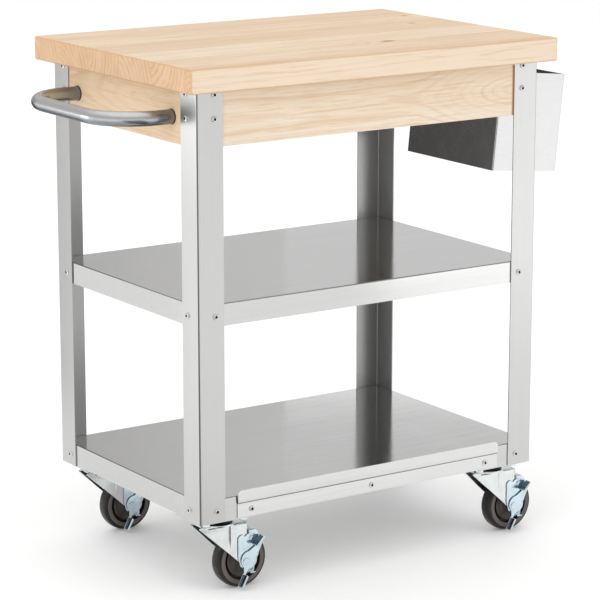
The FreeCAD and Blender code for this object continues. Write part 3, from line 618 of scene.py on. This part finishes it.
class Shell:
    """Grids of points in millimetres gathered into one mesh."""

    def __init__(self):
        self.points = []
        self.faces = []
        self.marks = []
        self.count = 0

    def grid(self, points, around=False, capped=False, mark=0.0):
        """Adds rows and columns of points; around joins last column to first, capped closes both end rows."""
        rows, columns = points.shape[:2]
        index = self.count + np.arange(rows * columns).reshape(rows, columns)
        wide = np.concatenate([index, index[:, :1]], axis=1) if around else index
        quads = np.stack([wide[:-1, :-1], wide[:-1, 1:], wide[1:, 1:], wide[1:, :-1]], axis=-1)
        self.faces += quads.reshape(-1, 4).tolist()
        if capped:
            self.faces += [index[0].tolist(), index[-1].tolist()]
        self.points.append(points.reshape(-1, 3))
        mark = np.asarray(mark, float)
        mark = mark[:, None] if mark.ndim == 1 else mark
        self.marks.append(np.broadcast_to(mark, (rows, columns)).ravel())
        self.count += rows * columns
        return self

    def piece(self, name, material, body, slot, replaces=(), sharp=35.0, offset=(0, 0, 0)):
        """The mesh, moved by an offset, as an object on a body; edges past an angle in degrees are sharp."""
        mesh = bpy.data.meshes.new(name)
        points = (np.concatenate(self.points) + np.asarray(offset, float)) * MM
        mesh.from_pydata(points.tolist(), [], self.faces)
        marks = mesh.attributes.new("mark", "FLOAT", "POINT")
        marks.data.foreach_set("value", np.concatenate(self.marks).astype(np.float32))
        work = bmesh.new()
        work.from_mesh(mesh)
        bmesh.ops.remove_doubles(work, verts=work.verts, dist=1e-7)
        bmesh.ops.recalc_face_normals(work, faces=work.faces)
        work.to_mesh(mesh)
        work.free()
        mesh.polygons.foreach_set("use_smooth", np.ones(len(mesh.polygons), bool))
        mesh.set_sharp_from_angle(angle=math.radians(sharp))
        mesh.materials.append(material)
        made = bpy.data.objects.new(name, mesh)
        bpy.context.scene.collection.objects.link(made)
        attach(made, body)
        if replaces:
            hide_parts(*replaces)
        return made


# Casters, drawn about the swivel axis with the wheel trailing along +X

# Wheel: its radius, how far it trails the swivel, its raised ring, and its web with the web's mark
WHEEL_RADIUS = 50.0
TRAIL = 43.3
RAISED_RING = (35.6, 43.0)
WEB_RADIUS = 30.0
WEB_MARK = 0.35

# Fork: half its width, its sheet, its bosses, its crown, and the heights and ends of the painted shadow under
# its rim
FORK_OUTSIDE = 20.5
FORK_SHEET = 2.5
FORK_BOSS = 8.0
CROWN_TOP = 124.5
CROWN_BEND = 4.0
RIM_SHADOW_HEIGHTS = (117.2, 117.6, 119.4, 119.8)
RIM_SHADOW_ENDS = (-28.0, -2.0)

# Front edge: the height where it leaves the boss, its run to the nose, and how it sets back above the nose
EDGE_START = 43.9
EDGE_RUN = 84.2
NOSE = -46.0
NOSE_HEIGHT = 121.0
NOSE_SET_BACK = 1.6

# Back edge's lean, and the groove's place, depth, width and the heights where it sets in and runs out
BACK_LEAN = 3.3
GROOVE = 12.0
GROOVE_DEPTH = 1.3
GROOVE_WIDTH = 1.5
GROOVE_SETS_IN = (74.0, 94.0)
GROOVE_RUNS_OUT = (116.0, NOSE_HEIGHT)

# Legs' inward fold in front of the groove: its slope, and the heights that it grows between
FOLD_SLOPE = 0.085
FOLD_GROWS = (70.0, 110.0)

# Step down to the rear shoulder: its place, run and drop, and the heights that it grows between
STEP = 14.0
STEP_RUN = 8.0
SHOULDER_DROP = 4.5
SHOULDER_GROWS = (96.0, 120.0)

# Brake: the sheets' outer and inner faces across the cart, and the lever's disc
BRACKET_FACES = (-22.5, -20.5)
LEVER_FACES = (-25.3, -22.8)
TAB_PLANE = -24.0
CAM_RADIUS = 16.0


def rise(values, low, high):
    """0 up to low and 1 from high on, straight between them."""
    return np.clip((values - low) / (high - low), 0, 1)


def wheel_shell():
    """A moulded wheel: a profile of radius and width carried round the axle.

    The tread is crowned with a fine parting ridge. Inside it come a raised ring, a deep groove, a dished
    web and a hub. The ring is marked as the lightest, and the web and hub a little.
    """
    side = [(8.0, 17.0), (13.2, 17.0), (15.4, 10.6), (22.0, 9.6), (30.0, 11.2), (30.8, 5.0), (34.4, 5.0),
            (35.2, 13.0), (38.2, 14.0), (42.4, 13.9), (43.6, 12.4), (46.6, 11.7), (49.0, 9.2), (49.7, 5.0),
            (49.8, 0.6)]
    radii = [0.3, 0.8, 1.2, 6.0, 0.7, 0.8, 0.8, 0.8, 1.6, 0.8, 0.9, 1.6, 1.8, 3.0, 0.2]
    corners = side + [(WHEEL_RADIUS, 0.0)] + [(r, -y) for r, y in reversed(side)]
    profile = rounded(corners, radii + [0.1] + radii[::-1], 5)
    profile = np.concatenate([profile, profile[:1]])
    rows = laid(turned(profile, 96), "XZY") + (TRAIL, 0, WHEEL_RADIUS)
    radius = profile[:, 0]
    ring = (radius > RAISED_RING[0]) & (radius < RAISED_RING[1])
    web = radius < WEB_RADIUS
    return Shell().grid(rows, around=True, mark=ring * 1.0 + web * WEB_MARK)


def fork_edges():
    """Half width, height, front edge and back edge of the fork's sheet, up one leg to the crown's middle.

    Below the axle both edges follow the round boss. Above it the front edge slants to the nose and the back
    edge leans a little forwards. The crown turns in on a quarter circle.
    """
    foot = WHEEL_RADIUS - FORK_BOSS * np.cos(np.linspace(0, np.pi / 2, 9))
    leg = np.concatenate([foot, np.linspace(53.0, 116.0, 25), RIM_SHADOW_HEIGHTS])
    bend = np.linspace(0, np.pi / 2, 7)
    flat = FORK_OUTSIDE - CROWN_BEND
    half = np.concatenate([np.full(len(leg), FORK_OUTSIDE), flat + CROWN_BEND * np.cos(bend),
                           np.linspace(flat, 0.0, 5)[1:]])
    height = np.concatenate([leg, CROWN_TOP - CROWN_BEND + CROWN_BEND * np.sin(bend), np.full(4, CROWN_TOP)])
    boss = np.clip(1 - ((WHEEL_RADIUS - height) / FORK_BOSS) ** 2, 0, 1) ** 0.5 * FORK_BOSS
    below = np.clip(NOSE_HEIGHT - height, 0, None)
    front = np.where(height < EDGE_START, TRAIL - boss, NOSE + below / (NOSE_HEIGHT - EDGE_START) * EDGE_RUN)
    front = np.where(height > NOSE_HEIGHT, NOSE + (height - NOSE_HEIGHT) * NOSE_SET_BACK, front)
    above = (height - WHEEL_RADIUS) / (CROWN_TOP - WHEEL_RADIUS)
    back = np.where(height < WHEEL_RADIUS, TRAIL + boss, TRAIL + FORK_BOSS - above * BACK_LEAN)
    return half[:, None], height[:, None], front[:, None], back[:, None]


def fork_shell():
    """A stamped fork as one sheet: up one leg, over the crown and down the other, in rows from front to back.

    In front of an upright pressed groove the legs fold inwards, and the groove is a narrow bell curve
    pressed in. Behind it the crown steps down to a rear shoulder. A band of painted shadow runs under the
    crown's rim.
    """
    half, height, front, back = fork_edges()
    groove = np.maximum(front, GROOVE + np.linspace(-3.0, 3.0, 9))
    before = front + (groove[:, :1] - front) * np.linspace(0, 1, 25)[:-1]
    behind = groove[:, -1:] + (back - groove[:, -1:]) * np.linspace(0, 1, 17)[1:]
    x = np.hstack([before, groove, behind])
    z = np.broadcast_to(height, x.shape)
    level = z - SHOULDER_DROP * rise(x, STEP, STEP + STEP_RUN) * rise(z, *SHOULDER_GROWS)
    fold = np.clip(GROOVE - x, 0, None) * FOLD_SLOPE * rise(z, *FOLD_GROWS)
    bell = np.exp(-((x - GROOVE) / GROOVE_WIDTH) ** 2)
    pressed = GROOVE_DEPTH * bell * rise(z, *GROOVE_SETS_IN) * (1 - rise(z, *GROOVE_RUNS_OUT))
    near = np.dstack([x, -np.clip(half - fold - pressed, 0, None), level])
    # Painted shadow: the marked band under the crown's rim is dark in the fork's zinc
    slot = (x > RIM_SHADOW_ENDS[0]) & (x < RIM_SHADOW_ENDS[1]) & (z > RIM_SHADOW_HEIGHTS[0]) & (z < RIM_SHADOW_HEIGHTS[-1])
    dark = slot.astype(float)
    far = (near * (1, -1, 1))[::-1]
    return Shell().grid(np.concatenate([near, far[1:]]), mark=np.concatenate([dark, dark[::-1][1:]]))


def crown_shell():
    """The race cup on the crown, a turned profile: a dished disc with a rolled rim and a top painted dark as
    shade.
    """
    profile = bent([(6.1, 120.0), (6.1, 124.9), (16.0, 124.9), (20.0, 124.2), (29.0, 124.2), (29.0, 120.4),
                    (27.2, 120.4), (26.4, 121.5), (6.1, 121.5)], [0.6, 2.0, 2.0, 1.6, 0.7, 0.5, 1.0])
    profile = np.concatenate([profile, profile[:1]])
    # Painted shade: the cup's top inside the rim is marked to be dark
    shaded_top = ((profile[:, 0] < 27.0) & (profile[:, 1] > 123.0)).astype(float)
    return Shell().grid(turned(profile, 72), around=True, mark=shaded_top)


def bracket_shell():
    """The brake's side plate with a rivet, its shoe folded over the tread and its lower lip folded out."""
    low = WHEEL_RADIUS - 21
    corners = [(28.5, 94), (28.5, 58), (33, 42), (49.3, low), (60.3, low), (62.3, 46), (70, 58), (70, 97.5),
               (64, 105), (50, 105), (50, 98.5), (46.5, 98.5), (44.5, 95.5), (40.5, 95.5), (38.5, 98.5),
               (34, 98.5)]
    radii = [2.5, 4, 6, 2.5, 2.5, 6, 4, 4, 2.5, 2, 1.2, 1.2, 1.0, 1.0, 1.2, 2.5]
    plate = slab(rounded(corners, radii), *BRACKET_FACES)
    shell = Shell().grid(laid(plate, "XZY"), around=True, capped=True, mark=rim(len(plate)))
    middle = sum(BRACKET_FACES) / 2
    sheet = BRACKET_FACES[1] - BRACKET_FACES[0]
    shoe = strip(bent([(middle, 96), (middle, 104), (8, 104), (11.5, 101)], [2.4, 2.4]), sheet)
    lip = strip(bent([(middle, 38), (middle, low + 1), (-28.6, low + 1)], [2.2]), sheet)
    shell.grid(laid(slab(shoe, 50.6, 63.4), "YZX"), around=True, capped=True)
    shell.grid(laid(slab(lip, 49.8, 59.8), "YZX"), around=True, capped=True)
    rivet = turned([(0.0, 3.2), (2.4, 3.0), (4.0, 2.0), (4.6, 0.6), (4.6, 0.0)], 32)
    return shell.grid(laid(rivet, "XZY") * (1, -1, 1) + (55.0, -22.4, 91.0), around=True)


def arc_about(middle, radius, first, last, steps):
    """Points on a circle between two angles in degrees."""
    angle = np.radians(np.linspace(first, last, steps))
    return np.asarray(middle) + radius * np.stack([np.cos(angle), np.sin(angle)], axis=-1)


def fold_tab(shell, root, tip, depth, lift, thick=2.5):
    """A tab folded out of the lever: an L with a rounded bend and a lifted edge, swept from root to tip.

    Its eased ends and its lifted edge are marked for a painted highlight.
    """
    root = np.asarray(root, float)
    tip = np.asarray(tip, float)
    along = unit(tip - root)
    up = np.array([-along[1], along[0]])
    length = np.linalg.norm(tip - root)
    end = TAB_PLANE - depth
    path = bent([(TAB_PLANE, -4.0), (TAB_PLANE, 0.0), (end + 2.0, 0.0), (end, lift)], [2.4, 2.0])
    rows = slab(strip(path, thick), 0.6, length - 0.6, 0.8)
    flat = root + rows[..., 2:3] * along + rows[..., 1:2] * up
    painted_highlight = np.zeros(rows.shape[:2])
    painted_highlight[[0, 1, 2, -3, -2, -1]] = 1.0
    painted_highlight[:, len(path) - 2:len(path) + 2] = 1.0
    shell.grid(np.dstack([flat[..., 0], rows[..., 0], flat[..., 1]]), around=True, capped=True, mark=painted_highlight)


def lever_shell():
    """The rocking lever: a cam disc with a wide pedal arm above and a narrow release arm below."""
    cam = (TRAIL + 5.7, WHEEL_RADIUS + 2.0)
    upper = arc_about(cam, CAM_RADIUS, 92, 228, 20)
    lower = arc_about(cam, CAM_RADIUS, 272, 372, 16)
    release = rounded([(36.6, 30.2), (25.6, 8.0), (31.0, 5.2), (42.8, 26.6)], [1.5, 1.2, 1.2, 1.5], 5)
    pedal = rounded([(80.0, 81.5), (80.5, 91.0), (72.6, 94.2), (56.8, 78.0)], [3.0, 3.0, 1.5, 4.0], 5)
    plate = slab(np.concatenate([upper, release, lower, pedal]), *LEVER_FACES)
    return Shell().grid(laid(plate, "XZY"), around=True, capped=True, mark=rim(len(plate)))


def tabs_shell():
    """The pedal and the release tab, both folded outwards from the lever."""
    shell = Shell()
    fold_tab(shell, (57.6, 78.6), (73.0, 94.0), 15.6, 1.6)
    fold_tab(shell, (28.4, 6.2), (40.2, 28.0), 11.6, -1.2)
    return shell


def make_casters():
    """The same six dressed pieces at each of the four swivels."""
    wheel, fork, crown = wheel_shell(), fork_shell(), crown_shell()
    bracket, lever, tabs = bracket_shell(), lever_shell(), tabs_shell()
    for corner in CORNERS:
        swivel = "swivel_" + corner
        brake = "brake_" + corner
        at = joint_place(swivel) * (1, 1, 0)
        wheel.piece("moulded_wheel_" + corner, wheel_rubber, "rolling_wheel_" + corner, "wheel_rubber",
                    ("wheel_" + corner,), 50.0, at)
        sheet = fork.piece("stamped_fork_" + corner, fork_zinc, swivel, "zinc_plated_steel",
                           ("fork_" + corner,), 60.0, at)
        skin = sheet.modifiers.new("sheet", "SOLIDIFY")
        skin.thickness = FORK_SHEET * MM
        skin.offset = -1.0
        crown.piece("crown_cup_" + corner, fork_zinc, swivel, "zinc_plated_steel", offset=at)
        bracket.piece("brake_plate_" + corner, brake_zinc, swivel, "zinc_plated_steel",
                      ("brake_bracket_" + corner,), offset=at)
        lever.piece("brake_cam_" + corner, brake_zinc, brake, "zinc_plated_steel",
                    ("brake_lever_" + corner,), offset=at)
        tabs.piece("brake_tabs_" + corner, tab_zinc, brake, "zinc_plated_steel", offset=at)


# Front lip, screws and handle collars

LIP_SHEET = 1.5
LIP_STEP = 2.0
LIP_STEP_UP = 26.0
LIP_CORNER = 8.0
LIP_SCREW_SPACING = 251.5
LIP_SCREW_UP = 12.5
LIP_GRIP = 3.0
SCREW_INSET = 34.0
SHELF_SCREW_DROP = 21.0
SHELF_GRIP = 3.5
TOP_SCREW_DROP = 6.5
HEAD_RADIUS = 5.3
HEAD_HEIGHT = 2.7
SHANK_RADIUS = 2.5
NUT_RADIUS = 4.6
NUT_HEIGHT = 4.0
TUBE_RADIUS = 12.7
COLLAR_WIDTH = 1.6


def make_lip():
    """The lip as a closed strip section carried along X.

    Near its top the section's length shrinks along a quarter circle, so that the upper corners are round.
    """
    low, high = box_mm("front_lip")
    base, top, back = low[2], high[2], high[1]
    fold = base + LIP_STEP_UP
    lower = back - LIP_SHEET / 2
    upper = lower - LIP_STEP
    path = bent([(lower, base), (lower, fold - 1.6), (back - 0.1, fold - 0.6), (back - 0.4, fold + 0.4),
                 (upper, fold + 1.2), (upper, top - LIP_CORNER - 1.0)], [0.6, 0.5, 0.5, 0.7], 5)
    round_from = top - LIP_CORNER
    heights = round_from + LIP_CORNER * np.sin(np.linspace(0, np.pi / 2, 10))
    path = np.concatenate([path, np.column_stack([np.full(len(heights), upper), heights])])
    section = strip(path, LIP_SHEET)
    climb = np.clip(section[:, 1] - round_from, 0, LIP_CORNER)
    half = (high[0] - low[0]) / 2 - LIP_CORNER + np.sqrt(LIP_CORNER ** 2 - climb ** 2)
    across = (high[0] + low[0]) / 2 + np.linspace(-1, 1, 41)[:, None] * half
    rows = np.dstack([across] + [np.broadcast_to(part, across.shape) for part in section.T])
    # The fold is marked at half strength, painting a dark line of shade along it
    crease_shade = np.broadcast_to((np.abs(section[:, 1] - fold) < 1.3) * 0.5, across.shape)
    shell = Shell().grid(rows, around=True, capped=True, mark=crease_shade)
    shell.piece("folded_lip", lip_steel, "cart", "stainless_sheet", ("front_lip",))


def button_head(shell, place, direction, grip=None):
    """A domed head with a round socket, painted near black as shade, both turned, and a hexagon nut where a
    grip is given.
    """
    axis = np.asarray(direction, float)
    first = np.array([0.0, 0.0, 1.0])
    second = np.cross(axis, first)
    frame_axes = np.stack([first, second, axis])

    def set_down(rows):
        """Points drawn along +Z put at the screw's place, along its direction."""
        return np.asarray(place, float) + rows @ frame_axes

    turn = np.linspace(0, np.pi / 2, 9)
    dome = np.column_stack([SHANK_RADIUS + (HEAD_RADIUS - SHANK_RADIUS) * np.sin(turn),
                            -HEAD_HEIGHT * np.cos(turn) ** 0.8])
    dome = np.concatenate([dome, [(HEAD_RADIUS, 0.0), (HEAD_RADIUS - 0.3, 0.3)]])
    shell.grid(set_down(turned(dome, 28)), around=True)
    socket = turned([(SHANK_RADIUS, -HEAD_HEIGHT), (2.3, -2.5), (2.2, -1.0), (0.0, -0.8)], 28)
    # The socket is marked, so it is painted near black as shade
    shell.grid(set_down(socket), around=True, mark=1.0)
    if grip is not None:
        nut_end = grip + NUT_HEIGHT
        hexagon = rounded(arc_about((0.0, 0.0), NUT_RADIUS, 0, 300, 6), 0.4, 3)
        shell.grid(set_down(slab(hexagon, grip, nut_end, 0.5)), around=True, capped=True)
        tip = turned([(SHANK_RADIUS, nut_end - 0.1), (SHANK_RADIUS, nut_end + 0.8), (2.1, nut_end + 1.2),
                      (0.0, nut_end + 1.2)], 20)
        shell.grid(set_down(tip), around=True)


def make_leg_screws():
    """Button-head screws in both flanges of every leg: two rows in the aprons and one in each shelf."""
    legs = {corner: box_mm("leg_" + corner) for corner in CORNERS}
    rows = {"apron_screws": (None, (apron_middle, apron_high[2] - TOP_SCREW_DROP))}
    for shelf in ("middle_shelf", "lower_shelf"):
        rows[shelf + "_screws"] = (SHELF_GRIP, (box_mm(shelf)[1][2] - SHELF_SCREW_DROP,))
    for name, (grip, heights) in rows.items():
        shell = Shell()
        for corner, (low, high) in legs.items():
            outer_x, way_x = (high[0], -1) if corner.endswith("right") else (low[0], 1)
            outer_y, way_y = (high[1], -1) if corner.startswith("rear") else (low[1], 1)
            for height in heights:
                button_head(shell, (outer_x + way_x * SCREW_INSET, outer_y, height), (0, way_y, 0), grip)
                button_head(shell, (outer_x, outer_y + way_y * SCREW_INSET, height), (way_x, 0, 0), grip)
        shell.piece("button_" + name, screw_steel, "cart", "screw_steel", (name,), 40.0)


def make_lip_screws():
    """Three button-head screws along the lip."""
    low, high = box_mm("front_lip")
    middle = (low[0] + high[0]) / 2
    shell = Shell()
    for k in (-1, 0, 1):
        place = (middle + k * LIP_SCREW_SPACING, high[1] - LIP_SHEET, low[2] + LIP_SCREW_UP)
        button_head(shell, place, (0, 1, 0), LIP_GRIP)
    shell.piece("button_lip_screws", screw_steel, "cart", "screw_steel", ("lip_screws",), 40.0)


def make_collars():
    """A dark ring round each end of the push handle: a rounded section carried round the tube."""
    low, high = box_mm("push_handle")
    inner = TUBE_RADIUS - 0.5
    outer = TUBE_RADIUS + 0.8
    profile = rounded([(inner, 0.0), (outer, 0.0), (outer, COLLAR_WIDTH), (inner, COLLAR_WIDTH)], 0.4, 4)
    ring = laid(turned(np.concatenate([profile, profile[:1]]), 48), "YZX") * (-1, 1, 1)
    height = (low[2] + high[2]) / 2
    shell = Shell()
    for side in (low[1] + TUBE_RADIUS, high[1] - TUBE_RADIUS):
        shell.grid(ring + (high[0], side, height), around=True)
    shell.piece("handle_collars", collar_black, "cart", "wheel_rubber")


make_casters()
make_lip()
make_leg_screws()
make_lip_screws()
make_collars()

# Stage, light and camera, in metres and watts

FLOOR_REACH = 40.0
SKY_STOPS = ((0.0, 0.80), (0.30, 0.66), (0.55, 0.72), (0.85, 1.2))
CART_MIDDLE = (0, 0, 0.5)

# Floor cards: where each starts and ends in front of the cart, half its width per distance, and its grey
FLOOR_CARDS = (("near_card", 0.5, 0.8, 0.18, 0.04), ("far_card", 0.8, 4.2, 0.36, 0.28))
CARD_LIFT = 0.004

# Upright cards: ends along X, place along Y, lower and upper edges, and the greys of the two ends
UPRIGHT_CARDS = (("bin_flag", (-0.52, -0.08), 0.98, (0.42, 0.75), (0.03, 0.06)),
                 ("back_card", (-0.75, 0.62), 1.0, (0.02, 1.05), (0.35, 0.62)))


def grey(level):
    """A grey colour."""
    return (level, level, level, 1)


def make_floor():
    """A wide pale floor."""
    mesh = bpy.data.meshes.new("floor")
    corners = [(x * FLOOR_REACH, y * FLOOR_REACH, 0) for x, y in ((-1, -1), (1, -1), (1, 1), (-1, 1))]
    mesh.from_pydata(corners, [], [(0, 1, 2, 3)])
    paint = Finish("floor_paint", {"Roughness": 0.6, "Specular IOR Level": 0.2, "Emission Color": grey(1),
                                   "Emission Strength": 0.13})
    cloud = paint.noise((0.7, 0.7, 0.7), 2.0)
    paint.colour(paint.mix(cloud, (0.90, 0.90, 0.895, 1), (0.93, 0.93, 0.925, 1)))
    mesh.materials.append(paint.material)
    floor = bpy.data.objects.new("floor", mesh)
    bpy.context.scene.collection.objects.link(floor)


def make_sky():
    """A soft studio sky, dimmest a little above the horizon and brightest overhead."""
    world = bpy.data.worlds.new("studio")
    sky = Nodes(world)
    direction = sky.node("ShaderNodeTexCoord", output="Generated")
    up = sky.node("ShaderNodeSeparateXYZ", inputs={0: direction}, output="Z")
    level = sky.node("ShaderNodeValToRGB", {"stops": SKY_STOPS}, {0: up})
    background = sky.tree.nodes["Background"]
    sky.feed(background.inputs["Color"], level)
    sky.feed(background.inputs["Strength"], 1.0)
    bpy.context.scene.world = world


def emit_area(name, place, target, size, power, reflected=False):
    """A rectangular soft light aimed at a point, or a panel that only reflections see."""
    light = bpy.data.lights.new(name, "AREA")
    light.shape = "RECTANGLE"
    light.size, light.size_y = size
    light.energy = power
    lamp = bpy.data.objects.new(name, light)
    bpy.context.scene.collection.objects.link(lamp)
    away = unit(np.array(place, float) - np.array(target, float))
    lamp.location = place
    lamp.rotation_euler = (math.acos(away[2]), 0.0, math.atan2(away[0], -away[1]))
    lamp.visible_camera = False
    lamp.visible_glossy = reflected
    lamp.visible_diffuse = not reflected


def make_lights():
    """Three soft lights, and four panels that only reflections see."""
    emit_area("key", (-4.6, -2.2, 3.2), CART_MIDDLE, (6.0, 5.0), 88.0)
    emit_area("fill", (2.6, -4.6, 3.0), CART_MIDDLE, (5.2, 4.6), 50.0)
    emit_area("back", (0.5, 4.8, 4.2), CART_MIDDLE, (5.0, 3.4), 34.0)
    emit_area("right_panel", (1.7, -1.6, 0.45), (0.4, 0, 0.4), (1.2, 0.9), 1.7, True)
    emit_area("left_panel", (-1.2, 0.65, 0.4), (-0.4, -0.3, 0.4), (0.5, 0.9), 0.6, True)
    emit_area("wheel_panel", (-1.16, 0.58, 0.74), (-0.38, -0.2, 0.06), (0.24, 0.24), 0.9, True)
    emit_area("back_panel", (1.8, 1.6, 0.47), (0.3, 0, 0.2), (1.4, 0.55), 0.8, True)
    bpy.context.scene.view_settings.view_transform = "Standard"


def make_card(name, corners, left, right):
    """A studio card that only reflections see, shaded from one grey at its left end to one at its right."""
    mesh = bpy.data.meshes.new(name)
    mesh.from_pydata(corners, [], [(0, 1, 2, 3)])
    cloth = Finish(name, {"Roughness": 0.9, "Specular IOR Level": 0.0})
    across = cloth.axes(cloth.place())[0].ramp(corners[0][0] / MM, corners[1][0] / MM)
    cloth.colour(cloth.mix(across, grey(left), grey(right)))
    mesh.materials.append(cloth.material)
    card = bpy.data.objects.new(name, mesh)
    bpy.context.scene.collection.objects.link(card)
    card.visible_camera = False
    card.visible_diffuse = False
    card.visible_shadow = False


def make_cards():
    """Two cards on the floor towards the camera and two upright behind the cart, which the metal reflects."""
    turn = math.radians(CAMERA_TURN)
    ahead = np.array([-math.sin(turn), -math.cos(turn)])
    side = np.array([ahead[1], -ahead[0]])
    for name, near, far, spread, tone in FLOOR_CARDS:
        ends = ((near, -near), (near, near), (far, far), (far, -far))
        flat = [ahead * reach + side * wide * spread for reach, wide in ends]
        make_card(name, [(x, y, CARD_LIFT) for x, y in flat], tone, tone)
    for name, (left, right), depth, (low, high), greys in UPRIGHT_CARDS:
        corners = [(left, depth, low), (right, depth, low), (right, depth, high), (left, depth, high)]
        make_card(name, corners, *greys)


def make_camera():
    """The photograph's camera, turned and pitched towards the cart with no shift."""
    camera = bpy.data.cameras.new("photo_camera")
    camera.lens = CAMERA_LENS
    camera.sensor_width = CAMERA_SENSOR
    viewer = bpy.data.objects.new("photo_camera", camera)
    bpy.context.scene.collection.objects.link(viewer)
    viewer.location = CAMERA_PLACE
    viewer.rotation_euler = (math.radians(90.0 - CAMERA_PITCH), 0.0, math.radians(-CAMERA_TURN))
    bpy.context.scene.camera = viewer


make_floor()
make_sky()
make_lights()
make_cards()
make_camera()
